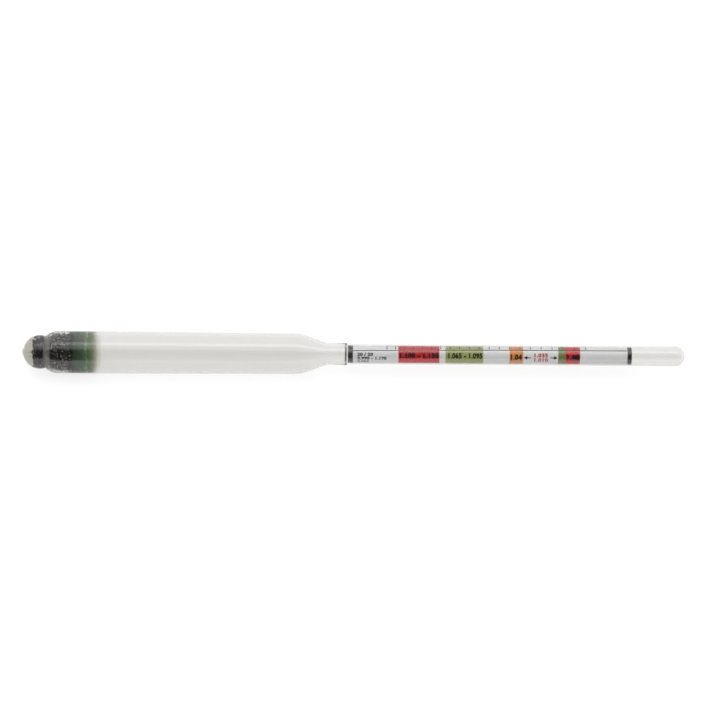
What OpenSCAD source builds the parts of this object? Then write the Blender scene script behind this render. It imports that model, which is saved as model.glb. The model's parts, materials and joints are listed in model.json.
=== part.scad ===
// Hydrometer for brewing and winemaking, lying on its side.
// A station is a distance in millimetres along the axis from the nose of the ballast bulb.
// Every outline is drawn as [radius, station], turned about the axis and then laid along X.

/* [Whole instrument] */
// Length from the nose of the bulb to the tip of the stem
total_length = 250; // [245:1:255]

/* [Ballast bulb] */
// Radius of the ballast bulb
bulb_r = 6.4; // [6.2:0.1:6.6]
// Height of the small sealed nib on the nose
nib_h = 0.2; // [0.1:0.05:0.3]
// Radius of the sealed nib
nib_r = 1.2; // [0.8:0.1:1.6]
// Thickness of the glass at the nose
nose_wall = 2.0; // [1.6:0.1:2.4]
// Radius of the rounded hip where the bulb meets the body
hip_r = 6.0; // [5.6:0.1:6.2]
// Radius of the small fillet in the waist groove
waist_fillet = 0.6; // [0.3:0.1:1]

/* [Float body] */
// Radius of the body tube
body_r = 7.95; // [7.9:0.05:8.1]
// Wall thickness of the body tube
wall = 0.9; // [0.8:0.01:0.94]
// Station where the body reaches its full radius
body_start = 13.2; // [13:0.1:13.4]
// Station where the straight part of the body ends and a slight taper starts
straight_end = 33; // [31:1:36]
// Radius of the body at the shoulder, after the taper
shoulder_r = 7.62; // [7.5:0.02:7.8]
// Station of the shoulder, where the cone starts
shoulder_at = 105.2; // [104:0.2:106]
// Radius of the rounding at the shoulder
shoulder_round = 9; // [6:0.5:11]

/* [Neck] */
// Outer radius of the neck at the end of the cone
neck_r = 4.1; // [4.05:0.05:4.2]
// Station where the cone ends and the neck starts
neck_at = 114.9; // [114:0.1:116]
// Radius of the fillet between cone and neck
neck_round = 7; // [4:0.5:8]
// Outer radius of the bead at the end of the neck
bead_r = 4.26; // [4.2:0.02:4.4]
// Width of the bead
bead_w = 2; // [1.4:0.1:2.4]
// Station of the fused joint, where the bead ends and the stem tube starts
joint_at = 122.6; // [122:0.1:122.8]
// Height of the ridge of glass that fusing leaves inside the joint
joint_ridge_h = 0.7; // [0.4:0.05:0.8]
// Length over which the bore narrows to that ridge
joint_ridge_w = 0.85; // [0.7:0.05:1]

/* [Stem] */
// Outer radius of the stem tube
stem_r = 3.76; // [3.7:0.02:3.84]
// Wall thickness of the stem tube
stem_wall = 0.42; // [0.4:0.01:0.5]
// Thickness of the glass at the tip of the stem
tip_wall = 0.6; // [0.5:0.1:1.4]

/* [Ballast] */
// Diameter of one steel ball of the shot
shot_d = 1.4; // [1.3:0.05:1.6]
// Smallest gap between neighbouring balls, and between a ball and the glass
shot_gap = 0.03; // [0.02:0.01:0.08]
// Station where the resin that beds the shot in the nose ends
nose_resin_end = 4; // [3.4:0.1:4.4]
// Station where the bulb's shot ends and the body's shot starts
shot_split = 9; // [8.8:0.1:9.4]
// Station where the shot ends and the sealing wax starts
shot_end = 20.2; // [18:0.2:22]
// Station where the sealing wax ends
wax_end = 24.7; // [24:0.1:25.5]
// Station where the flat middle of the resin top coat ends
topcoat_end = 28.2; // [27.5:0.1:29]
// Height that the top coat creeps up the glass wall
meniscus_h = 1.1; // [0.6:0.1:1.5]
// Width of the ring that creeps up the wall
meniscus_w = 1.3; // [0.8:0.1:1.6]

/* [Scale] */
// Station where the scale paper starts
paper_start = 122.9; // [122.8:0.1:123.4]
// Station where the scale paper ends
paper_end = 229.8; // [228:0.1:232]
// Thickness of the scale paper
paper_t = 0.12; // [0.1:0.01:0.14]
// Gap between the rolled paper and the bore of the stem
paper_gap = 0.04; // [0.03:0.01:0.12]
// Angle by which the two edges of the rolled paper overlap
lap_angle = 30; // [20:2:40]
// Width of the lower black ring that holds the paper
lower_ring_w = 1.9; // [1.6:0.1:2.4]
// Width of the upper black ring that holds the paper
upper_ring_w = 1.6; // [1.4:0.1:2.4]

/* [Hidden] */

$fn = 96;
arc_steps = 16;
ridge_steps = 12;

stem_bore_r = stem_r - stem_wall;
bulb_c = [0, nib_h + bulb_r];
hip_c = [body_r - hip_r, body_start];
bulb_wall = 1;
cavity_bulb_r = bulb_r - bulb_wall;
cavity_bulb_c = [0, nose_wall + cavity_bulb_r];
cavity_hip_r = hip_r - wall;
bead_start = joint_at - bead_w;
bead_round = 0.35;
cone_angle = atan2(shoulder_r - neck_r, neck_at - shoulder_at);
cavity_shift = wall * tan(cone_angle / 2);
tip_c = total_length - stem_r;
bore_tip_c = total_length - tip_wall - stem_bore_r;
paper_r = stem_bore_r - paper_gap;
shot_r = shot_d / 2;
shot_pitch = shot_d + shot_gap;
layer_pitch = shot_pitch * sqrt(3) / 2;

// Centre of the circle that rolls in the groove between two circles
function rolling_centre(a, ra, b, rb, r) =
  let (gap = b - a, d = norm(gap), u = gap / d)
  let (p = ((ra + r) ^ 2 - (rb + r) ^ 2 + d ^ 2) / (2 * d), q = sqrt((ra + r) ^ 2 - p ^ 2))
  a + p * u + q * [u[1], -u[0]];

// Point where two circles cross, on the side away from the axis
function crossing(a, ra, b, rb) = rolling_centre(a, ra, b, rb, 0);

// Direction from point a to point b
function heading(a, b) = atan2(b[1] - a[1], b[0] - a[0]);

// Points along an arc about c, from one angle to another
function arc(c, r, from, to) = [
  for (i = [0 : arc_steps])
    let (a = from + (to - from) * i / arc_steps)
    c + r * [cos(a), sin(a)]
];

// Points that round the corner b of the line a, b, c with radius r
function rounded(a, b, c, r) =
  let (u = (a - b) / norm(a - b), v = (c - b) / norm(c - b))
  let (half = acos(u * v) / 2, centre = b + r / sin(half) * (u + v) / norm(u + v))
  let (from = heading(centre, b + r / tan(half) * u), to = heading(centre, b + r / tan(half) * v))
  let (turn = to - from > 180 ? to - from - 360 : to - from < -180 ? to - from + 360 : to - from)
  arc(centre, r, from, from + turn);

// Lay a solid that is drawn along Z on its side, nose towards -X, resting on Z = 0
module lay_down()
  translate([-total_length / 2, 0, body_r])
    rotate([0, 90, 0])
      children();

// The outer outline of the blown float, closed along the axis
module float_outline() {
  waist_c = rolling_centre(bulb_c, bulb_r, hip_c, hip_r, waist_fillet);
  bulb_to_waist = heading(bulb_c, waist_c);
  hip_to_waist = heading(hip_c, waist_c);
  straight = [body_r, straight_end];
  shoulder = [shoulder_r, shoulder_at];
  neck = [neck_r, neck_at];
  bead = [bead_r, joint_at];
  bead_in = [stem_r, joint_at];
  polygon(concat(
    [[0, bulb_c[1]]],
    arc(bulb_c, bulb_r, -90, bulb_to_waist),
    arc(waist_c, waist_fillet, bulb_to_waist + 180, hip_to_waist + 180),
    arc(hip_c, hip_r, hip_to_waist, 0),
    [straight],
    rounded(straight, shoulder, neck, shoulder_round),
    rounded(shoulder, neck, [neck_r, bead_start], neck_round),
    [[neck_r, bead_start]],
    rounded([neck_r, bead_start], bead, bead_in, bead_round),
    [[0, joint_at]]
  ));
}

// The outline of the hollow inside the float and its neck
module float_cavity() {
  meet = crossing(cavity_bulb_c, cavity_bulb_r, hip_c, cavity_hip_r);
  straight = [body_r - wall, straight_end];
  shoulder = [shoulder_r - wall, shoulder_at - cavity_shift];
  neck = [stem_bore_r, neck_at - cavity_shift];
  neck_top = [stem_bore_r, joint_at + 1];
  joint = [stem_bore_r, joint_at];
  polygon(concat(
    arc(cavity_bulb_c, cavity_bulb_r, -90, heading(cavity_bulb_c, meet)),
    arc(hip_c, cavity_hip_r, heading(hip_c, meet), 0),
    [straight],
    rounded(straight, shoulder, neck, shoulder_round - wall),
    rounded(shoulder, neck, neck_top, neck_round),
    [for (i = [0 : ridge_steps]) joint - joint_ridge(i / ridge_steps)],
    [joint, neck_top, [0, joint_at + 1]]
  ));
}

// How far the ridge stands in from the bore and back from the joint, as the share t of it has risen
function joint_ridge(t) = [joint_ridge_h * t * t * (3 - 2 * t), joint_ridge_w * (1 - t)];

module float_glass()
  color([0.88, 0.91, 0.9, 0.35])
    lay_down()
      rotate_extrude() {
        difference() {
          float_outline();
          float_cavity();
        }
        nib_outline();
      }

// The sealed nib, sunk into the thick glass of the nose
module nib_outline() square([nib_r, nose_wall / 2]);

// A closed round-ended rod, used for the outside of the stem and for its bore
module round_rod(r, from, centre) {
  translate([0, 0, from]) cylinder(r = r, h = centre - from);
  translate([0, 0, centre]) sphere(r = r);
}

module stem_glass()
  color([0.88, 0.91, 0.9, 0.35])
    lay_down()
      difference() {
        round_rod(stem_r, joint_at, tip_c);
        round_rod(stem_bore_r, joint_at - 1, bore_tip_c);
      }

// The hollow of the float between two stations
module cavity_slice(from, to)
  rotate_extrude()
    intersection() {
      float_cavity();
      translate([0, from]) square([body_r, to - from]);
    }

module nose_resin()
  color([0.72, 0.7, 0.6])
    lay_down()
      cavity_slice(0, nose_resin_end);

// Radius of the hollow at a station inside the bulb or the hip
function cavity_r_at(s) =
  s < shot_split ? sqrt(max(0, cavity_bulb_r ^ 2 - (s - cavity_bulb_c[1]) ^ 2))
  : s < body_start ? hip_c[0] + sqrt(cavity_hip_r ^ 2 - (body_start - s) ^ 2)
  : body_r - wall;

// Farthest that a ball's centre may stand from the axis, when its layer lies at a station
function shot_reach(s) =
  let (stand_off = shot_r + shot_gap)
  s < shot_split
    ? sqrt(max(0, (cavity_bulb_r - stand_off) ^ 2 - (s - cavity_bulb_c[1]) ^ 2))
    : min([for (k = [-1 : 0.25 : 1]) cavity_r_at(s + k * shot_r) - stand_off * sqrt(1 - k * k)]);

// One layer of balls in rings. The rings of all layers keep to one set of radii, counted inwards
// from the widest ring, and every other layer is shifted by half a pitch, so that layers nest.
module shot_layer(s, widest, nested) {
  first = widest - (nested ? shot_pitch / 2 : 0);
  skipped = max(0, ceil((first - shot_reach(s)) / shot_pitch));
  for (ring = [skipped : floor(first / shot_pitch)]) {
    r = first - ring * shot_pitch;
    count = r < shot_pitch / 2 ? 1 : floor(180 / asin(shot_pitch / (2 * r)));
    for (i = [0 : count - 1])
      rotate([0, 0, 360 * (i + ring / 2) / count])
        translate([count == 1 ? 0 : r, 0, s])
          sphere(r = shot_r, $fn = 24);
  }
}

// Layers of balls between two stations
module shot_fill(from, to, widest) {
  layers = floor((to - from - shot_d) / layer_pitch);
  for (k = [0 : layers])
    shot_layer(from + shot_r + k * layer_pitch, widest, k % 2 == 1);
}

module bulb_shot()
  color([0.3, 0.3, 0.31])
    lay_down()
      shot_fill(nose_resin_end, shot_split, shot_reach(cavity_bulb_c[1]));

module body_shot()
  color([0.3, 0.3, 0.31])
    lay_down()
      shot_fill(shot_split + shot_gap, shot_end, shot_reach(shot_end));

module wax_plug()
  color([0.36, 0.52, 0.4])
    lay_down()
      cavity_slice(shot_end, wax_end);

module resin_topcoat()
  color([0.5, 0.56, 0.4])
    lay_down()
      rotate_extrude()
        polygon([
          [0, wax_end],
          [body_r - wall, wax_end],
          [body_r - wall, topcoat_end + meniscus_h],
          [body_r - wall - meniscus_w / 3, topcoat_end + meniscus_h / 3],
          [body_r - wall - meniscus_w, topcoat_end],
          [0, topcoat_end]
        ]);

// A flat ring cut down to the part between two angles less than 180 degrees apart
module ring_sector(r_out, t, from, to)
  intersection() {
    difference() {
      circle(r = r_out);
      circle(r = r_out - t);
    }
    polygon([
      [0, 0],
      2 * r_out * [cos(from), sin(from)],
      4 * r_out * [cos((from + to) / 2), sin((from + to) / 2)],
      2 * r_out * [cos(to), sin(to)]
    ]);
  }

// The rolled sheet: one turn, whose inner edge runs on under its outer edge
module scale_paper()
  color([0.95, 0.95, 0.96])
    lay_down()
      translate([0, 0, paper_start])
        linear_extrude(paper_end - paper_start) {
          difference() {
            circle(r = paper_r);
            circle(r = paper_r - paper_t);
          }
          ring_sector(paper_r - paper_t, paper_t, 0, lap_angle);
        }

// A black band between the paper and the bore of the stem
module scale_ring(from, width)
  color([0.1, 0.1, 0.1])
    lay_down()
      translate([0, 0, from])
        linear_extrude(width)
          difference() {
            circle(r = stem_bore_r);
            circle(r = paper_r);
          }

module lower_scale_ring() scale_ring(paper_start, lower_ring_w);

module upper_scale_ring() scale_ring(paper_end - upper_ring_w, upper_ring_w);

float_glass();
stem_glass();
nose_resin();
bulb_shot();
body_shot();
wax_plug();
resin_topcoat();
scale_paper();
lower_scale_ring();
upper_scale_ring();
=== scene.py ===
"""Looks of the hydrometer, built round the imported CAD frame. All lengths are in metres."""

import json
import math
import random

import bmesh
import bpy
import numpy as np
from mathutils import Euler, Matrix, Vector, noise as relief


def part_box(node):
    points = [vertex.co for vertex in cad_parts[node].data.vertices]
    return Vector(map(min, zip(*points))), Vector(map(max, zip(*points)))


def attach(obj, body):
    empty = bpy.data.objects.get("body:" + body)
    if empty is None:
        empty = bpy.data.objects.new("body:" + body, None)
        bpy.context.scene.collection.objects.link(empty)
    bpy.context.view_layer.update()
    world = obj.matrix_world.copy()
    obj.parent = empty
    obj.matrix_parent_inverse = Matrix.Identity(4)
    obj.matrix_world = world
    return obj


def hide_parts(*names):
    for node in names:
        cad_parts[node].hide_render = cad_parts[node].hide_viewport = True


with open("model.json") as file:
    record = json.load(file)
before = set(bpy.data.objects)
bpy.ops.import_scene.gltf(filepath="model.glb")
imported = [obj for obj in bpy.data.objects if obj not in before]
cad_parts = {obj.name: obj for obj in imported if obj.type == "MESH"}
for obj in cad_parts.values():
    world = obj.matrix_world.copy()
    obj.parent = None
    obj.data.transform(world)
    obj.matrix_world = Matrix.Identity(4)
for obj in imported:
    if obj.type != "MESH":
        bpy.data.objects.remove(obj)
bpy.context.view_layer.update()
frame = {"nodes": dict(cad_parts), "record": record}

MM = 0.001
record = frame["record"]
mounts = {m["name"]: m for m in record["mounts"]}
AXIS_Z = mounts["stem"]["pos_m"][2]
STEM_R = mounts["stem"]["dims"]["r_mm"] * MM

# ---------------------------------------------------------------- measures taken from the frame


def radial(node):
    """Distances of a CAD node's vertices from the instrument's axis."""
    return [math.hypot(v.co.y, v.co.z - AXIS_Z) for v in frame["nodes"][node].data.vertices]


def span(node):
    """The two stations, along X, between which a CAD node lies."""
    low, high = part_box(node)
    return low.x, high.x


NOSE_X, JOINT_X = span("float_glass")
TIP_X = span("stem_glass")[1]
CAVITY_R = max(radial("wax_plug"))
BORE_R = max(radial("lower_scale_ring"))
PAPER_R = max(radial("scale_paper"))
PAPER_T = (PAPER_R - min(radial("scale_paper"))) / 2
PAPER_START, PAPER_END = span("scale_paper")
WAIST_X = span("body_shot")[0]
WAX_X = span("wax_plug")[0]

SKIN_TILT = 0.02  # a face that leans less than this towards or away from the axis is an end face
MIN_STEP = 0.04 * MM


def skin(node, side):
    """The (x, r) outline of a CAD node's outer skin (side 1) or inner skin (side -1), by rising x."""
    mesh = frame["nodes"][node].data
    found = set()
    for face in mesh.polygons:
        outward = Vector((0, face.center.y, face.center.z - AXIS_Z)).normalized()
        if face.normal.dot(outward) * side > SKIN_TILT:
            for v in face.vertices:
                co = mesh.vertices[v].co
                found.add((round(co.x, 6), round(math.hypot(co.y, co.z - AXIS_Z), 6)))
    kept = []
    for point in sorted(found):
        if not kept or math.dist(point, kept[-1]) > MIN_STEP:
            kept.append(point)
    return kept


def outside_of(points, hollow):
    """The points that lie clearly outside the hollow, so that its poles aren't taken for outer skin."""
    xs, rs = zip(*hollow)
    return [(x, r) for x, r in points
            if not xs[0] <= x <= xs[-1] or r > np.interp(x, xs, rs) + 0.1 * MM]


float_inside = skin("float_glass", -1)
float_outside = outside_of(skin("float_glass", 1), float_inside)
stem_inside = skin("stem_glass", -1)
stem_outside = outside_of(skin("stem_glass", 1), stem_inside)

# ---------------------------------------------------------------- mesh helpers

ROUND_STEPS = 192
SHARP_ANGLE = math.radians(28)


def add_object(name, mesh, material, slot, *replaced):
    """Links a mesh as a piece of the object, on the one body, and hides the CAD nodes it stands for."""
    piece = bpy.data.objects.new(name, mesh)
    bpy.context.scene.collection.objects.link(piece)
    piece.data.materials.clear()
    piece.data.materials.append(material)
    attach(piece, "root")
    if replaced:
        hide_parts(*replaced)
    return piece


def finish_mesh(name, bm):
    """Turns a bmesh into smooth-shaded mesh data whose hard corners stay sharp."""
    bmesh.ops.recalc_face_normals(bm, faces=bm.faces)
    for face in bm.faces:
        face.smooth = True
    for edge in bm.edges:
        edge.smooth = len(edge.link_faces) != 2 or edge.calc_face_angle() < SHARP_ANGLE
    mesh = bpy.data.meshes.new(name)
    bm.to_mesh(mesh)
    bm.free()
    return mesh


def on_axis(x, r, angle):
    """A point at station x, at distance r from the axis; angle 0 faces the front and 90 degrees is up."""
    return Vector((x, -r * math.cos(angle), AXIS_Z + r * math.sin(angle)))


def lathe_mesh(name, loop, closed=False, wobble=None, swell=None):
    """Turns the (x, r) points of a loop about the axis. Points with r = 0 become poles.

    wobble and swell give a shift along the axis and away from it for a point (x, r, angle)."""
    bm = bmesh.new()
    rings = []
    for x, r in loop:
        if r < MIN_STEP / 2:
            rings.append([bm.verts.new(on_axis(x, 0, 0))])
            continue
        ring = []
        for k in range(ROUND_STEPS):
            angle = 2 * math.pi * k / ROUND_STEPS
            dx = wobble(x, r, angle) if wobble else 0
            dr = swell(x, r, angle) if swell else 0
            ring.append(bm.verts.new(on_axis(x + dx, r + dr, angle)))
        rings.append(ring)
    pairs = list(zip(rings, rings[1:])) + ([(rings[-1], rings[0])] if closed else [])
    for a, b in pairs:
        if len(a) == len(b) == 1:
            continue
        for k in range(ROUND_STEPS):
            n = (k + 1) % ROUND_STEPS
            if len(a) == 1:
                bm.faces.new((a[0], b[n], b[k]))
            elif len(b) == 1:
                bm.faces.new((a[k], a[n], b[0]))
            else:
                bm.faces.new((a[k], a[n], b[n], b[k]))
    return finish_mesh(name, bm)


# ---------------------------------------------------------------- material helpers


def new_material(name):
    material = bpy.data.materials.new(name)
    material.use_nodes = True
    tree = material.node_tree
    tree.nodes.clear()
    out = tree.nodes.new("ShaderNodeOutputMaterial")
    shader = tree.nodes.new("ShaderNodeBsdfPrincipled")
    tree.links.new(shader.outputs["BSDF"], out.inputs["Surface"])
    return material, tree, shader, out


def place_of(tree):
    return tree.nodes.new("ShaderNodeTexCoord").outputs["Object"]


def stretched(tree, scale):
    """Object coordinates scaled on each axis."""
    mapping = tree.nodes.new("ShaderNodeMapping")
    mapping.inputs["Scale"].default_value = scale
    tree.links.new(place_of(tree), mapping.inputs["Vector"])
    return mapping.outputs["Vector"]


def noise(tree, feature, detail=3.0, rough=0.55, vector=None):
    """Noise whose largest features are about `feature` metres across."""
    node = tree.nodes.new("ShaderNodeTexNoise")
    node.inputs["Scale"].default_value = 1 / feature
    node.inputs["Detail"].default_value = detail
    node.inputs["Roughness"].default_value = rough
    tree.links.new(vector or place_of(tree), node.inputs["Vector"])
    return node.outputs["Fac"]


def ramp(tree, factor, stops):
    """A colour ramp. stops is a list of (position, colour)."""
    node = tree.nodes.new("ShaderNodeValToRGB")
    elements = node.color_ramp.elements
    while len(elements) > 1:
        elements.remove(elements[-1])
    elements[0].position, elements[0].color = stops[0][0], (*stops[0][1], 1)
    for position, colour in stops[1:]:
        elements.new(position).color = (*colour, 1)
    tree.links.new(factor, node.inputs["Fac"])
    return node.outputs["Color"]


def cells(tree, size):
    """A random value for each cell of about that size."""
    node = tree.nodes.new("ShaderNodeTexVoronoi")
    node.inputs["Scale"].default_value = 1 / size
    tree.links.new(place_of(tree), node.inputs["Vector"])
    split = tree.nodes.new("ShaderNodeSeparateColor")
    tree.links.new(node.outputs["Color"], split.inputs["Color"])
    return split.outputs["Red"]


def blended(tree, share, first, second):
    """Two colours mixed by a share that comes from a socket."""
    mix = tree.nodes.new("ShaderNodeMixRGB")
    tree.links.new(share, mix.inputs["Fac"])
    for socket, colour in ((mix.inputs["Color1"], first), (mix.inputs["Color2"], second)):
        if isinstance(colour, tuple):
            socket.default_value = (*colour, 1)
        else:
            tree.links.new(colour, socket)
    return mix.outputs["Color"]


def along_axis(tree, start, end):
    """0 at station start and 1 at station end."""
    split = tree.nodes.new("ShaderNodeSeparateXYZ")
    tree.links.new(place_of(tree), split.inputs["Vector"])
    node = tree.nodes.new("ShaderNodeMapRange")
    node.inputs["From Min"].default_value = start
    node.inputs["From Max"].default_value = end
    tree.links.new(split.outputs["X"], node.inputs["Value"])
    return node.outputs["Result"]


def blend_sum(tree, a, b, share):
    """a + share * (b - 0.5)"""
    node = tree.nodes.new("ShaderNodeMath")
    node.operation = "MULTIPLY_ADD"
    tree.links.new(b, node.inputs[0])
    node.inputs[1].default_value = share
    shift = tree.nodes.new("ShaderNodeMath")
    shift.operation = "SUBTRACT"
    tree.links.new(a, shift.inputs[0])
    shift.inputs[1].default_value = share / 2
    tree.links.new(shift.outputs[0], node.inputs[2])
    return node.outputs[0]


def bump(tree, shader, height, strength, distance):
    node = tree.nodes.new("ShaderNodeBump")
    node.inputs["Strength"].default_value = strength
    node.inputs["Distance"].default_value = distance
    tree.links.new(height, node.inputs["Height"])
    tree.links.new(node.outputs["Normal"], shader.inputs["Normal"])


def half_clear(tree, shader, out, share, tint=(1, 1, 1)):
    """Lets light straight through the surface by a share that comes from a socket."""
    through = tree.nodes.new("ShaderNodeBsdfTransparent")
    through.inputs["Color"].default_value = (*tint, 1)
    mix = tree.nodes.new("ShaderNodeMixShader")
    tree.links.new(share, mix.inputs["Fac"])
    tree.links.new(shader.outputs["BSDF"], mix.inputs[1])
    tree.links.new(through.outputs["BSDF"], mix.inputs[2])
    tree.links.new(mix.outputs["Shader"], out.inputs["Surface"])


def cloudy(shader, weight, radii_mm):
    """Light that enters the surface and comes out again close by."""
    shader.inputs["Subsurface Weight"].default_value = weight
    shader.inputs["Subsurface Radius"].default_value = [radius * MM for radius in radii_mm]
    shader.inputs["Subsurface Scale"].default_value = 1.0


# ---------------------------------------------------------------- materials


def clear_glass():
    """Drawn glass tube: clear, with the faint lengthwise waves that drawing leaves."""
    material, tree, shader, out = new_material("clear_glass")
    shader.inputs["Base Color"].default_value = (0.88, 0.875, 0.86, 1)
    shader.inputs["Transmission Weight"].default_value = 1.0
    shader.inputs["Roughness"].default_value = 0.0
    shader.inputs["IOR"].default_value = 1.47
    waves = noise(tree, 4 * MM, 2.0, 0.4, stretched(tree, (0.06, 1, 1)))
    bump(tree, shader, waves, 0.08, 0.05 * MM)
    path = tree.nodes.new("ShaderNodeLightPath")
    half_clear(tree, shader, out, path.outputs["Is Shadow Ray"], (0.85, 0.85, 0.85))
    body = tree.nodes.new("ShaderNodeVolumeAbsorption")
    body.inputs["Color"].default_value = (0.87, 0.87, 0.86, 1)
    body.inputs["Density"].default_value = 0.25 / MM
    tree.links.new(body.outputs["Volume"], out.inputs["Volume"])
    return material


def dust_share(tree):
    """Where a painted reflection lies on the shot as a pale band: the narrow waist, whose curved glass
    mirrors the bright room to the sides.
    """
    return ramp(tree, along_axis(tree, WAIST_X - 0.9 * MM, WAIST_X + 2.4 * MM), [
        (0.0, (0, 0, 0)), (0.14, (0.85, 0.85, 0.85)), (0.74, (0.8, 0.8, 0.8)), (1.0, (0, 0, 0))])


def ballast_tint(tree, colour):
    """The colour of the shot, green where wax has run in, with a pale painted reflection in the waist."""
    soaked = ramp(tree, along_axis(tree, WAX_X - 2.0 * MM, WAX_X), [
        (0.0, (0, 0, 0)), (0.35, (0.12, 0.12, 0.12)), (1.0, (0.85, 0.85, 0.85))])
    green = blended(tree, soaked, colour, (0.018, 0.036, 0.02))
    # the pale colour in the waist is a painted reflection
    return blended(tree, dust_share(tree), green, (0.19, 0.18, 0.165))


def steel_shot():
    """Dull dark balls of randomly varied tone. The palest cells are painted glints."""
    material, tree, shader, _ = new_material("steel_shot")
    # tone varies at random from cell to cell; the palest stops, up to near white, are painted glints
    grey = ramp(tree, cells(tree, 0.7 * MM), [
        (0.0, (0.012, 0.012, 0.011)), (0.42, (0.04, 0.04, 0.037)), (0.68, (0.18, 0.18, 0.17)),
        (1.0, (0.66, 0.66, 0.63))])
    tree.links.new(ballast_tint(tree, grey), shader.inputs["Base Color"])
    # the shot is not metallic under the painted reflection in the waist, so that it shows pale there
    metal_off_painted_band = blended(tree, dust_share(tree), (0.85, 0.85, 0.85), (0.0, 0.0, 0.0))
    tree.links.new(metal_off_painted_band, shader.inputs["Metallic"])
    shader.inputs["Roughness"].default_value = 0.3
    bump(tree, shader, noise(tree, 0.12 * MM, 2.0), 0.3, 0.01 * MM)
    return material


def binder():
    """The film between the balls. It wets the glass, so it is as smooth as the glass; its near-black
    colour is painted shade for the gaps between and behind the balls.
    """
    material, tree, shader, _ = new_material("shot_film_painted_shade")
    # near black: painted shade where the deeper balls would lie in shadow
    dark = ramp(tree, noise(tree, 0.9 * MM), [
        (0.4, (0.004, 0.004, 0.003)), (0.65, (0.02, 0.02, 0.018))])
    tree.links.new(ballast_tint(tree, dark), shader.inputs["Base Color"])
    shader.inputs["Roughness"].default_value = 0.15
    return material


def green_wax():
    """Dark bluish green sealing wax, cloudy, paler towards its upper end, where its palest part is a
    painted highlight along the joint with the top coat.
    """
    material, tree, shader, _ = new_material("green_wax")
    start, end = span("wax_plug")
    mottled = blend_sum(tree, along_axis(tree, start - 1 * MM, end), noise(tree, 1.6 * MM), 0.5)
    # the palest stop, at the upper end, is a painted highlight along the joint with the top coat
    colour = ramp(tree, mottled, [
        (0.0, (0.014, 0.024, 0.013)), (0.45, (0.038, 0.064, 0.034)),
        (0.9, (0.066, 0.110, 0.058)), (1.0, (0.17, 0.30, 0.16))])
    tree.links.new(colour, shader.inputs["Base Color"])
    shader.inputs["Roughness"].default_value = 0.15
    shader.inputs["Specular IOR Level"].default_value = 0.7
    cloudy(shader, 0.15, (0.6, 1.2, 0.6))
    bump(tree, shader, noise(tree, 0.9 * MM), 0.15, 0.03 * MM)
    return material


def olive_resin():
    """Olive top coat that turns pale and yellowish where it thins out at the meniscus. Its pale green
    lower edge, at the joint with the wax, is a painted highlight.
    """
    material, tree, shader, out = new_material("olive_resin")
    start, end = span("resin_topcoat")
    mottled = blend_sum(tree, along_axis(tree, start, end), noise(tree, 0.9 * MM, 4.0, 0.7), 0.5)
    # the first two stops, pale green where it meets the wax, are a painted highlight along the joint
    colour = ramp(tree, mottled, [
        (0.0, (0.15, 0.28, 0.14)), (0.06, (0.12, 0.21, 0.11)), (0.13, (0.07, 0.10, 0.05)),
        (0.36, (0.12, 0.16, 0.085)), (0.55, (0.22, 0.26, 0.15)), (0.72, (0.34, 0.37, 0.23)),
        (0.85, (0.46, 0.46, 0.32)), (1.0, (0.60, 0.57, 0.46))])
    tree.links.new(colour, shader.inputs["Base Color"])
    shader.inputs["Roughness"].default_value = 0.15
    shader.inputs["Specular IOR Level"].default_value = 0.7
    cloudy(shader, 0.25, (1.0, 1.2, 0.8))
    bump(tree, shader, noise(tree, 0.7 * MM), 0.15, 0.03 * MM)
    thin = ramp(tree, along_axis(tree, start + 0.5 * MM, end), [
        (0.0, (0, 0, 0)), (0.3, (0.25, 0.25, 0.25)), (0.75, (0.85, 0.85, 0.85)), (1.0, (1, 1, 1))])
    half_clear(tree, shader, out, thin)
    return material


def amber_resin():
    """Yellowish grey bed of resin in the nose of the bulb."""
    material, tree, shader, _ = new_material("amber_resin")
    colour = ramp(tree, noise(tree, 0.8 * MM), [
        (0.3, (0.50, 0.49, 0.41)), (0.7, (0.66, 0.65, 0.56))])
    tree.links.new(colour, shader.inputs["Base Color"])
    shader.inputs["Roughness"].default_value = 0.3
    cloudy(shader, 0.3, (1.0, 0.9, 0.6))
    bump(tree, shader, noise(tree, 0.3 * MM), 0.2, 0.02 * MM)
    return material


def printed(name, dark, light):
    """Paper or ink: a fibre mottle between two close colours and a slight tooth."""
    material, tree, shader, _ = new_material(name)
    fibres = noise(tree, 0.5 * MM, 4.0, 0.6, stretched(tree, (0.5, 1, 1)))
    tree.links.new(ramp(tree, fibres, [(0.3, dark), (0.7, light)]), shader.inputs["Base Color"])
    shader.inputs["Roughness"].default_value = 0.35
    shader.inputs["Specular IOR Level"].default_value = 0.3
    bump(tree, shader, fibres, 0.08, 0.01 * MM)
    return material


def black_band():
    """Dull black of the two bands that hold the paper."""
    material, tree, shader, _ = new_material("black_band")
    colour = ramp(tree, noise(tree, 0.6 * MM), [
        (0.3, (0.012, 0.012, 0.011)), (0.7, (0.03, 0.03, 0.028))])
    tree.links.new(colour, shader.inputs["Base Color"])
    shader.inputs["Roughness"].default_value = 0.5
    bump(tree, shader, noise(tree, 0.2 * MM), 0.3, 0.02 * MM)
    return material


# ---------------------------------------------------------------- glass

WELD_GAP = 0.004 * MM  # keeps the two end faces of the fused joint from lying in one plane
PIP_MM = ((0.0, 0.35), (0.03, 0.7), (0.1, 1.0), (0.2, 1.22), (0.33, 1.5))  # (x, r) from the nose


def glass_loop(outside, inside, pole_out, pole_in, start):
    """One closed outline: out along the outer skin and back along the inner one, pole to pole."""
    path = outside + inside[::-1] if start else outside[::-1] + inside
    path = [p for p in path if p[1] > MIN_STEP]
    return [(pole_out, 0.0)] + path + [(pole_in, 0.0)]


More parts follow.
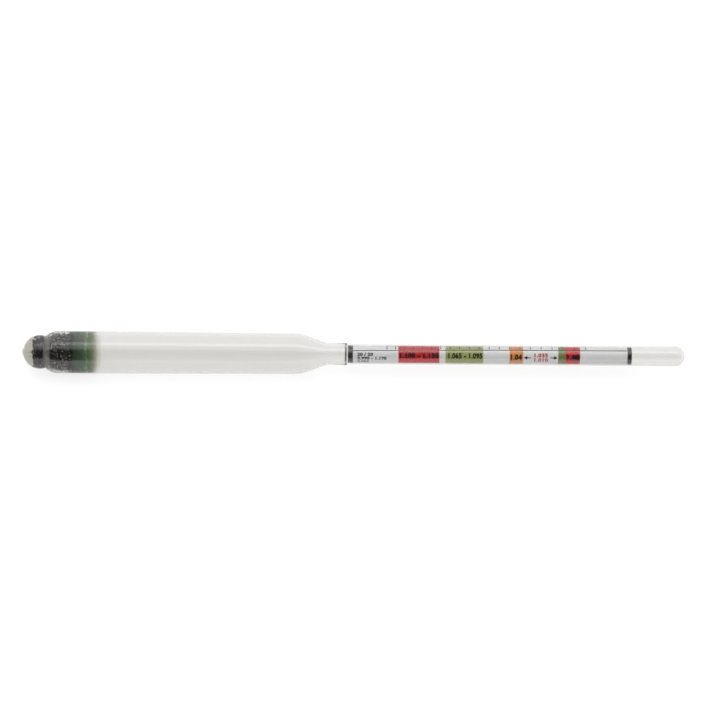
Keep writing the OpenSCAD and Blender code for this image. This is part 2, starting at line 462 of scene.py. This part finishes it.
def build_glass():
    """The two tubes. The drop of glass that sealed the nose is drawn as a soft pip."""
    glass = clear_glass()
    nose_inner = min(x for x, r in float_inside)
    pip = [(NOSE_X + x * MM, r * MM) for x, r in PIP_MM]
    bulb = [p for p in float_outside if p[0] > pip[-1][0] + 0.1 * MM]
    loop = glass_loop(pip + bulb, float_inside, NOSE_X, nose_inner, True)
    loop = [(x - WELD_GAP if x > JOINT_X - WELD_GAP else x, r) for x, r in loop]
    add_object("glass_float", lathe_mesh("glass_float", loop), glass, "clear_glass", "float_glass")
    tip_inner = max(x for x, r in stem_inside)
    loop = glass_loop(stem_outside, stem_inside, TIP_X, tip_inner, False)
    add_object("glass_stem", lathe_mesh("glass_stem", loop), glass, "clear_glass", "stem_glass")


build_glass()

# ---------------------------------------------------------------- ballast

GRAIN_D = 0.8 * MM
GRAIN_DEPTH = 0.3 * MM  # the balls press into the film that wets the glass, so their caps touch it
WET_LIFT = 0.015 * MM  # a filling that wets the glass reaches this far into it, so no air film shows
DRY_SINK = 0.16 * MM  # and where it doesn't wet the glass, it stands back this far
PATCH = 0.6 * MM  # size of the wet and dry patches
TURN = 6.28
DRYNESS = (  # stations along the axis, and how dry the ballast is there: wet in the bulb and at the wax
    (WAIST_X - 0.5 * MM, WAIST_X + 0.4 * MM, WAIST_X + 2.5 * MM, WAX_X - 3.0 * MM, WAX_X - 0.8 * MM),
    (-0.65, -1.2, 0.15, 0.15, -1.2))
RESIN_RISE = 0.45 * MM  # the resin rises between the lowest balls


def along_path(path, step):
    """Points spaced evenly along a path."""
    xs, rs = np.array(path).T
    run = np.concatenate([[0], np.cumsum(np.hypot(np.diff(xs), np.diff(rs)))])
    places = np.arange(0, run[-1], step)
    return list(zip(np.interp(places, run, xs), np.interp(places, run, rs)))


def wall_path(start, end, lift):
    """The inner skin between two stations, moved outwards along its normal by lift."""
    moved = []
    wall = along_path(float_inside, 0.1 * MM)
    for a, b, c in zip(wall, wall[1:], wall[2:]):
        tx, tr = c[0] - a[0], c[1] - a[1]
        size = math.hypot(tx, tr)
        point = (b[0] - tr / size * lift, b[1] + tx / size * lift)
        if start < point[0] < end:
            moved.append(point)
    return moved


def grain_places(from_x, to_x, rng):
    """Places of the balls against the glass, in uneven rows round the axis."""
    places = []
    for x, r in along_path(wall_path(from_x, to_x, -GRAIN_DEPTH), GRAIN_D * 0.85):
        count = max(1, int(2 * math.pi * r / (GRAIN_D * 0.95)))
        phase = rng.uniform(0, 2 * math.pi)
        for k in range(count):
            turn = phase + 2 * math.pi * (k + rng.uniform(-0.2, 0.2)) / count
            sunk = rng.uniform(0, 0.08) * GRAIN_D
            places.append((x + rng.uniform(-0.2, 0.2) * GRAIN_D, r - sunk, turn))
    return places


def ball_mesh(detail):
    """Corners and faces of a ball one metre across."""
    bm = bmesh.new()
    bmesh.ops.create_icosphere(bm, subdivisions=detail, radius=0.5)
    co = np.array([v.co for v in bm.verts])
    faces = [[v.index for v in f.verts] for f in bm.faces]
    bm.free()
    return co, faces


def build_grains(name, node, from_x, to_x, material, seed):
    """The balls that show through the glass between two stations, as one mesh."""
    rng = random.Random(seed)
    co, faces = ball_mesh(2)
    verts, polys = [], []
    for x, r, turn in grain_places(from_x, to_x, rng):
        spin = np.array(Euler([rng.uniform(0, TURN) for _ in range(3)]).to_matrix())
        size = GRAIN_D * rng.uniform(0.75, 1.1)
        ball = (co * size * [1, rng.uniform(0.85, 1), rng.uniform(0.85, 1)]) @ spin.T
        start = len(verts) * len(co)
        verts.append(ball + np.array(on_axis(x, r, turn)))
        polys.extend([[start + i for i in f] for f in faces])
    mesh = bpy.data.meshes.new(name)
    mesh.from_pydata(np.concatenate(verts).tolist(), [], polys)
    mesh.shade_smooth()
    add_object(name, mesh, material, "steel_shot", node)


def uneven(waves, amount, seed):
    """A lengthwise shift that changes round the axis, for a ragged edge."""
    rng = random.Random(seed)
    terms = [(k, rng.uniform(0, TURN), rng.uniform(0.4, 1) / (1 + 0.12 * k)) for k in waves]
    total = sum(t[2] for t in terms)
    return lambda angle: amount * sum(a * math.sin(k * angle + p) for k, p, a in terms) / total


def patchy(x, r, angle):
    """How far a filling stands out from the hollow: here it wets the glass, there it leaves air."""
    if r < CAVITY_R / 2:
        return 0
    spot = relief.noise(on_axis(x, r, angle) / PATCH)
    dry = min(1, max(0, np.interp(x, *DRYNESS) + 1.8 * spot))
    return WET_LIFT - (WET_LIFT + DRY_SINK) * dry


def build_ballast():
    """The balls of the bulb and the body, and the film between them, whose near-black colour is painted
    shade.
    """
    steel = steel_shot()
    bulb_x, split_x = span("bulb_shot")
    top_x = span("body_shot")[1]
    build_grains("bulb_grains", "bulb_shot", bulb_x, split_x + GRAIN_D * 0.3, steel, 11)
    build_grains("body_grains", "body_shot", split_x - GRAIN_D * 0.2, top_x, steel, 12)
    film = along_path(wall_path(bulb_x + RESIN_RISE, top_x, 0), 0.2 * MM)
    end_x = top_x + 0.9 * MM  # it runs in under the ragged foot of the wax
    film = [(film[0][0], 0.0)] + film + [(end_x, film[-1][1]), (end_x, 0.0)]
    ragged = uneven((3, 5, 8, 13, 21), 0.4 * MM, 3)

    def wobble(x, r, angle):
        return ragged(angle) if x < bulb_x + RESIN_RISE + 0.15 * MM and r > 0 else 0

    mesh = lathe_mesh("shot_film_painted_shade", film, wobble=wobble, swell=patchy)
    add_object("shot_film_painted_shade", mesh, binder(), "steel_shot")


build_ballast()

# ---------------------------------------------------------------- wax and resin


def build_wax():
    """The plug of wax. Its foot runs down unevenly between the balls."""
    start, end = span("wax_plug")
    ragged = uneven((2, 3, 5, 9, 14, 23), 1.3 * MM, 5)
    middle = (start + end) / 2
    foot = start - 0.6 * MM

    def wobble(x, r, angle):
        return ragged(angle) * min(1, r / CAVITY_R) if x < middle else 0

    rim = CAVITY_R + 1.6 * WET_LIFT
    loop = [(foot, 0), (foot, rim * 0.45), (foot, rim * 0.8), (foot, rim * 0.95), (foot, rim)]
    loop += [(x, rim) for x in np.arange(middle, end - 0.15 * MM, 0.25 * MM)]
    loop += [(end - 0.1 * MM, rim), (end - 0.06 * MM, rim - 0.1 * MM)]
    loop += [(end - 0.05 * MM, rim * 0.45), (end - 0.05 * MM, 0)]
    mesh = lathe_mesh("wax", loop, wobble=wobble)
    add_object("wax", mesh, green_wax(), "green_wax", "wax_plug")


def build_topcoat():
    """The second layer. It creeps up the glass with an uneven edge."""
    start, end = span("resin_topcoat")
    rim = CAVITY_R + WET_LIFT
    creep = 1.1 * MM
    loop = [(start, 0), (start, rim * 0.45), (start, rim - 0.1 * MM)]
    loop += [(x, rim) for x in np.arange(start + 0.08 * MM, end - 0.1 * MM, 0.25 * MM)]
    loop += [(end, rim), (end, rim - 0.06 * MM)]
    for k in range(1, 9):
        fall = (1 - k / 8) ** 2.2
        loop.append((end - creep + creep * fall, rim - 0.06 * MM - 1.5 * MM * k / 8))
    loop += [(end - creep, rim * 0.45), (end - creep, 0)]
    ragged = uneven((1, 2, 3, 7, 12), 0.25 * MM, 8)

    def wobble(x, r, angle):
        return ragged(angle) if x > end - 0.5 * creep else 0

    mesh = lathe_mesh("topcoat", loop, wobble=wobble)
    add_object("topcoat", mesh, olive_resin(), "olive_resin", "resin_topcoat")


def build_nose_bed():
    """A lens of resin: the hollow's own shape below, and a slightly domed face under the shot."""
    start, end = span("nose_resin")
    end += RESIN_RISE + 0.5 * MM
    skin_part = [(x, r) for x, r in float_inside if x < end - 0.05 * MM]
    rim_r = np.interp(end, [p[0] for p in float_inside], [p[1] for p in float_inside])
    loop = [(start - WET_LIFT, 0)] + [(x - WET_LIFT, r) for x, r in skin_part if r > MIN_STEP]
    loop += [(end, rim_r), (end + 0.12 * MM, rim_r * 0.6), (end + 0.15 * MM, 0)]
    add_object("nose_bed", lathe_mesh("nose_bed", loop), amber_resin(), "amber_resin", "nose_resin")


build_wax()
build_topcoat()
build_nose_bed()

# ---------------------------------------------------------------- rolled scale paper and its bands

SEAM_ANGLE = math.radians(-45)
LAP = math.radians(30)  # how far the sheet's edge laps over itself


def build_paper():
    """The sheet, rolled once round, its outer edge lapping over the start of the turn."""
    turn = 2 * math.pi + LAP
    bm = bmesh.new()
    rows = []
    for k in range(ROUND_STEPS + 1):
        run = turn * k / ROUND_STEPS
        tucked = max(0.0, (run - 2 * math.pi) / LAP)
        outer = PAPER_R - PAPER_T * min(1.0, 4 * tucked) * 1.02
        inner = outer - PAPER_T
        section = ((PAPER_START, outer), (PAPER_END, outer), (PAPER_END, inner), (PAPER_START, inner))
        rows.append([bm.verts.new(on_axis(x, r, SEAM_ANGLE + run)) for x, r in section])
    for a, b in zip(rows, rows[1:]):
        for i in range(4):
            bm.faces.new((a[i], a[(i + 1) % 4], b[(i + 1) % 4], b[i]))
    bm.faces.new(rows[0])
    bm.faces.new(rows[-1][::-1])
    paper = printed("scale_paper", (0.885, 0.89, 0.925), (0.94, 0.945, 0.975))
    add_object("scale_sheet", finish_mesh("scale_sheet", bm), paper, "printed_paper", "scale_paper")


def build_ring(name, node, material):
    """A band that fills the gap between the paper and the bore, with rounded edges."""
    start, end = span(node)
    inner, outer = PAPER_R + 0.03 * MM, BORE_R - 0.004 * MM
    edge = 0.03 * MM
    loop = [(start, inner), (start, outer - edge), (start + edge, outer),
            (end - edge, outer), (end, outer - edge), (end, inner)]
    add_object(name, lathe_mesh(name, loop, closed=True), material, "black_band", node)


build_paper()
band_black = black_band()
build_ring("ring_lower", "lower_scale_ring", band_black)
build_ring("ring_upper", "upper_scale_ring", band_black)

# ---------------------------------------------------------------- where each specific gravity stands

WATER = 1000.0  # kg in a cubic metre


def turned_volume(points):
    """Volume inside an outline turned about the axis."""
    return sum(math.pi / 3 * (x1 - x0) * (r0 * r0 + r0 * r1 + r1 * r1)
               for (x0, r0), (x1, r1) in zip(points, points[1:]))


STEM_AREA = math.pi * STEM_R ** 2
DISPLACED = record["physics"]["mass_kg"] / WATER
WATER_X = JOINT_X + (DISPLACED - turned_volume(float_outside)) / STEM_AREA


def station(gravity):
    """The station that floats level with the surface of a liquid of that specific gravity."""
    return WATER_X + DISPLACED / STEM_AREA * (1 / gravity - 1)


# ---------------------------------------------------------------- print

INK_LIFT = 0.012 * MM  # height of the ink's middle above the paper
INK_T = 0.006 * MM
BAND_INNER, BAND_OUTER = PAPER_R + 0.003 * MM, PAPER_R + 0.008 * MM  # coloured ink lies under the black
SLICE = 0.12 * MM
FIBRE_SPREAD = 1.12  # how much paler a coloured band is on its lighter fibres
LETTER_HEIGHT = 0.7  # of the built-in typeface, at size 1


class Print:
    """Flat shapes of one ink, in metres: x along the axis, y round the paper from the front upwards."""

    def __init__(self):
        self.bm = bmesh.new()

    def box(self, x0, x1, y0, y1):
        corners = [self.bm.verts.new((x, y, 0)) for x, y in ((x0, y0), (x1, y0), (x1, y1), (x0, y1))]
        self.bm.faces.new(corners)

    def polygon(self, points):
        self.bm.faces.new([self.bm.verts.new((x, y, 0)) for x, y in points])

    def text(self, words, x, y, height, across=False, bold=0.0, anchor="LEFT", squeeze=1.0):
        """Letters that start at (x, y). They run along the axis, or round it when across is set."""
        curve = bpy.data.curves.new("letters", "FONT")
        curve.body = words
        curve.align_x = anchor
        curve.align_y = "CENTER"
        curve.offset = bold
        curve.space_character = 1 + 1.5 * bold
        curve.resolution_u = 3
        letters = bpy.data.objects.new("letters", curve)
        bpy.context.scene.collection.objects.link(letters)
        bpy.context.view_layer.update()
        mesh = letters.to_mesh()
        scale = height / LETTER_HEIGHT
        spots = []
        for v in mesh.vertices:
            u, w = v.co.x * scale * squeeze, v.co.y * scale
            spots.append(self.bm.verts.new((x + w, y - u, 0) if across else (x + u, y + w, 0)))
        for face in mesh.polygons:
            self.bm.faces.new([spots[i] for i in face.vertices])
        letters.to_mesh_clear()
        bpy.data.objects.remove(letters)
        bpy.data.curves.remove(curve)

    def wrap(self, name, material):
        """Cuts the shapes into narrow slices, rolls them on the paper and makes the ink thick."""
        bm = self.bm
        ys = [v.co.y for v in bm.verts]
        for y in np.arange(math.ceil(min(ys) / SLICE) * SLICE, max(ys), SLICE):
            bmesh.ops.bisect_plane(bm, geom=bm.verts[:] + bm.edges[:] + bm.faces[:],
                                   plane_co=(0, y, 0), plane_no=(0, 1, 0))
        bmesh.ops.triangulate(bm, faces=[f for f in bm.faces if len(f.verts) > 4])
        for v in bm.verts:
            v.co = on_axis(v.co.x, PAPER_R + INK_LIFT, v.co.y / PAPER_R)
        mesh = bpy.data.meshes.new(name)
        bm.to_mesh(mesh)
        bm.free()
        piece = add_object(name, mesh, material, "printed_paper")
        thick = piece.modifiers.new("ink", "SOLIDIFY")
        thick.thickness = INK_T
        thick.offset = 0


def arc_y(degrees):
    """Length round the paper from the front to an angle above it."""
    return math.radians(degrees) * PAPER_R


def gravity_band(name, light, heavy, colour):
    """A coloured band all round the paper, between two specific gravities."""
    x0, x1 = sorted((station(light), station(heavy)))
    loop = [(x0, BAND_INNER), (x0, BAND_OUTER), (x1, BAND_OUTER), (x1, BAND_INNER)]
    ink = printed(name, colour, tuple(min(1, c * FIBRE_SPREAD) for c in colour))
    add_object(name, lathe_mesh(name, loop, closed=True), ink, "printed_paper")


GUIDE_Y = arc_y(31)  # middle of the row of short words
LONG_WORDS_Y = arc_y(39)  # middle of the long words at the lower end of the scale
SUGAR_DEGREES, GRAVITY_DEGREES = 199, 318  # where the rules of the two far scales lie
LINE = 0.35 * MM
PAPER_MIDDLE = (PAPER_START + PAPER_END) / 2


def front_rule(x):
    """The rule above the words runs slightly out of true with the axis."""
    return np.interp(x, (PAPER_START, PAPER_MIDDLE, PAPER_END), (arc_y(70), arc_y(79), arc_y(80)))


def rule(ink, x0, y0, x1, y1):
    """A lengthwise line."""
    half = LINE / 2
    ink.polygon([(x0, y0 - half), (x1, y1 - half), (x1, y1 + half), (x0, y0 + half)])


def tick(ink, gravity, y0, y1, width):
    """A short line across the scale."""
    x = station(gravity)
    ink.box(x - width / 2, x + width / 2, y0, y1)


def alcohol_scale(ink):
    """Potential alcohol: one long tick for each per cent, and four short ones between."""
    zero, per_cent = 0.9988, 0.0077
    for step in range(-5, 96):
        gravity = zero + per_cent * step / 5
        whole = step % 5 == 0
        foot = front_rule(station(gravity)) + arc_y(8 if whole else 26)
        tick(ink, gravity, foot, arc_y(126), 0.34 * MM if whole else 0.14 * MM)
        if whole and step % 25 == 0 and step > 0:
            ink.text(str(step // 5), station(gravity), arc_y(150), 1.1 * MM, across=True,
                     anchor="CENTER")


def sugar_scale(ink):
    """Degrees of sugar, by the usual rule of four gravity points each."""
    for degree in range(0, 39):
        gravity = 1 + 0.004 * degree
        long = degree % 5 == 0
        top = arc_y(SUGAR_DEGREES + (16 if long else 10))
        tick(ink, gravity, arc_y(SUGAR_DEGREES), top, 0.18 * MM if long else 0.1 * MM)
        if long:
            ink.text(str(degree), station(gravity), arc_y(229), 1.1 * MM, across=True,
                     anchor="CENTER")


def gravity_scale(ink):
    """Specific gravity, a tick for each 0.002 and a number for each 0.010."""
    for point in range(-10, 171, 2):
        gravity = 1 + point / 1000
        ten = point % 10 == 0
        foot = arc_y(316 - (18 if ten else 10))
        tick(ink, gravity, foot, arc_y(316), 0.18 * MM if ten else 0.1 * MM)
        if ten:
            ink.text(f"{gravity:.3f}", station(gravity), arc_y(272), 1.05 * MM, across=True,
                     anchor="CENTER", squeeze=0.85)


def arrow(ink, x, y, way):
    """A short arrow with a round-backed head, pointing along the axis."""
    head, shaft, half = 1.3 * MM, 1.3 * MM, 0.7 * MM
    ink.polygon([(x, y), (x - way * head, y + half), (x - way * head, y - half)][::way])
    ink.box(*sorted((x - way * head, x - way * (head + shaft))), y - 0.17 * MM, y + 0.17 * MM)


def build_bands():
    """The coloured bands. Each stands for a kind of drink."""
    gravity_band("band_sweet", 1.100, 1.135, (0.66, 0.010, 0.020))
    gravity_band("band_table", 1.065, 1.095, (0.37, 0.41, 0.13))
    gravity_band("band_ale", 1.035, 1.045, (0.78, 0.28, 0.05))
    gravity_band("band_light", 1.005, 1.010, (0.19, 0.25, 0.08))
    gravity_band("band_dry", 0.995, 1.005, (0.66, 0.010, 0.020))


def build_black_print():
    """The three scales, and the numbers that stand on the bands."""
    black = Print()
    for degrees in (SUGAR_DEGREES, GRAVITY_DEGREES):
        rule(black, PAPER_START, arc_y(degrees), PAPER_END, arc_y(degrees))
    for x0, x1 in ((PAPER_START, PAPER_MIDDLE), (PAPER_MIDDLE, PAPER_END)):
        rule(black, x0, front_rule(x0), x1, front_rule(x1))
    alcohol_scale(black)
    sugar_scale(black)
    gravity_scale(black)
    note_x = PAPER_START + 3.6 * MM
    for row, words in enumerate(("20 / 20", "0.990 - 1.170", "0.002")):
        bold = 0.03 if row == 2 else 0.055
        black.text(words, note_x, arc_y(45) - 1.45 * row * MM, 1.1 * MM, bold=bold, squeeze=1.2)
    black.text("1.100 - 1.135", station(1.1345), LONG_WORDS_Y, 1.85 * MM, bold=0.08, squeeze=0.93)
    black.text("1.065 - 1.095", station(1.0935), LONG_WORDS_Y, 1.85 * MM, bold=0.055, squeeze=0.86)
    black.text("1.04", station(1.0449), GUIDE_Y, 1.9 * MM, bold=0.07, squeeze=0.88)
    black.text("1.00", station(1.0046), GUIDE_Y, 1.9 * MM, bold=0.09, squeeze=0.98)
    arrow(black, station(1.0345), GUIDE_Y, -1)
    arrow(black, station(1.0105), GUIDE_Y, 1)
    black.wrap("print_black", printed("black_ink", (0.012, 0.012, 0.014), (0.022, 0.022, 0.024)))


def build_red_print():
    """The two numbers between the arrows."""
    red = Print()
    red_x = (station(1.0345) + station(1.0105)) / 2
    red.text("1.035", red_x, GUIDE_Y + 0.85 * MM, 1.3 * MM, bold=0.05, anchor="CENTER", squeeze=1.25)
    red.text("1.010", red_x, GUIDE_Y - 0.95 * MM, 1.3 * MM, bold=0.05, anchor="CENTER", squeeze=1.25)
    red.wrap("print_red", printed("red_ink", (0.5, 0.02, 0.03), (0.6, 0.03, 0.04)))


build_bands()
build_black_print()
build_red_print()

# ---------------------------------------------------------------- camera

CAMERA_ELEVATION = math.radians(47)
CAMERA_DISTANCE = 0.9
FILLED_WIDTH = 0.94  # share of the picture's width that the instrument fills
ROLL = math.radians(0.4)
AIM_LEFT = 0.55 * MM  # the camera's aim, from the middle of the instrument
AIM_ABOVE = 0.79 * MM


def build_camera():
    data = bpy.data.cameras.new("camera")
    camera = bpy.data.objects.new("camera", data)
    bpy.context.scene.collection.objects.link(camera)
    back = Vector((0, -math.cos(CAMERA_ELEVATION), math.sin(CAMERA_ELEVATION)))
    up = Vector((0, math.sin(CAMERA_ELEVATION), math.cos(CAMERA_ELEVATION)))
    middle = Vector(((NOSE_X + TIP_X) / 2, 0, AXIS_Z))
    aim = middle - Vector((AIM_LEFT, 0, 0)) + up * AIM_ABOVE
    camera.location = aim + back * CAMERA_DISTANCE
    facing = (-back).to_track_quat("-Z", "Y").to_matrix()
    camera.rotation_euler = (facing @ Euler((0, 0, ROLL)).to_matrix()).to_euler()
    data.sensor_width = 36
    data.lens = data.sensor_width * CAMERA_DISTANCE * FILLED_WIDTH / (TIP_X - NOSE_X)
    data.clip_start, data.clip_end = 0.01, 50
    bpy.context.scene.camera = camera


build_camera()

# ---------------------------------------------------------------- studio


FLOOR_HALF = 4.0
FLOOR_Z = -0.05 * MM
SOFTBOX_RADIANCE = 1.08
DIM_ELEVATION = math.radians(25)  # middle of the dim part of the room, above the horizon in front


def build_floor():
    """A pale surface lit from below, as on a light table: soft shade only."""
    bm = bmesh.new()
    outline = ((-1, -1), (1, -1), (1, 1), (-1, 1))
    bm.faces.new([bm.verts.new((x * FLOOR_HALF, y * FLOOR_HALF, FLOOR_Z)) for x, y in outline])
    mesh = bpy.data.meshes.new("floor")
    bm.to_mesh(mesh)
    bm.free()
    floor = bpy.data.objects.new("floor", mesh)
    bpy.context.scene.collection.objects.link(floor)
    material, tree, shader, _ = new_material("floor")
    shader.inputs["Base Color"].default_value = (0.25, 0.25, 0.25, 1)
    shader.inputs["Roughness"].default_value = 1.0
    shader.inputs["Specular IOR Level"].default_value = 0.0
    shader.inputs["Emission Color"].default_value = (1, 1, 1, 1)
    shader.inputs["Emission Strength"].default_value = 0.78
    mesh.materials.append(material)


def build_softbox():
    """A long softbox overhead, a little behind the instrument."""
    light = bpy.data.lights.new("softbox", "AREA")
    light.shape = "RECTANGLE"
    light.size, light.size_y = 1.3, 0.26
    light.energy = SOFTBOX_RADIANCE * math.pi * light.size * light.size_y
    softbox = bpy.data.objects.new("softbox", light)
    softbox.location = (0, 0.07, 0.8)
    softbox.rotation_euler = Vector(softbox.location).to_track_quat("Z", "Y").to_euler()
    bpy.context.scene.collection.objects.link(softbox)


def room_picture(tree):
    """Light of the room by its height round the instrument's axis: white, and dim in front."""
    coord = tree.nodes.new("ShaderNodeTexCoord")
    flat = tree.nodes.new("ShaderNodeVectorMath")
    flat.operation = "MULTIPLY"
    flat.inputs[1].default_value = (0, 1, 1)
    tree.links.new(coord.outputs["Generated"], flat.inputs[0])
    unit = tree.nodes.new("ShaderNodeVectorMath")
    unit.operation = "NORMALIZE"
    tree.links.new(flat.outputs["Vector"], unit.inputs[0])
    turn = tree.nodes.new("ShaderNodeVectorMath")
    turn.operation = "DOT_PRODUCT"
    turn.inputs[1].default_value = (0, -math.cos(DIM_ELEVATION), math.sin(DIM_ELEVATION))
    tree.links.new(unit.outputs["Vector"], turn.inputs[0])
    return ramp(tree, turn.outputs["Value"], [(0.70, (1, 1, 1)), (0.85, (0.03, 0.03, 0.03))])


def build_world():
    """A plain white room. What the instrument mirrors of it is dim in front."""
    world = bpy.data.worlds.new("studio")
    bpy.context.scene.world = world
    world.use_nodes = True
    tree = world.node_tree
    tree.nodes.clear()
    out = tree.nodes.new("ShaderNodeOutputWorld")
    lit = tree.nodes.new("ShaderNodeBackground")
    lit.inputs["Strength"].default_value = 1.15
    tree.links.new(room_picture(tree), lit.inputs["Color"])
    plain = tree.nodes.new("ShaderNodeBackground")
    plain.inputs["Color"].default_value = (1, 1, 1, 1)
    plain.inputs["Strength"].default_value = 1.07
    path = tree.nodes.new("ShaderNodeLightPath")
    mix = tree.nodes.new("ShaderNodeMixShader")
    tree.links.new(path.outputs["Glossy Depth"], mix.inputs["Fac"])
    tree.links.new(plain.outputs["Background"], mix.inputs[1])
    tree.links.new(lit.outputs["Background"], mix.inputs[2])
    tree.links.new(mix.outputs["Shader"], out.inputs["Surface"])


def set_view():
    """Plain colours, and enough bounces for glass in glass."""
    scene = bpy.context.scene
    scene.view_settings.view_transform = "Standard"
    scene.view_settings.look = "None"
    cycles = scene.cycles
    cycles.use_denoising = True
    cycles.max_bounces = 24
    cycles.transmission_bounces = 24
    cycles.transparent_max_bounces = 32
    cycles.caustics_reflective = False
    cycles.caustics_refractive = True
    cycles.sample_clamp_indirect = 10


build_floor()
build_softbox()
build_world()
set_view()
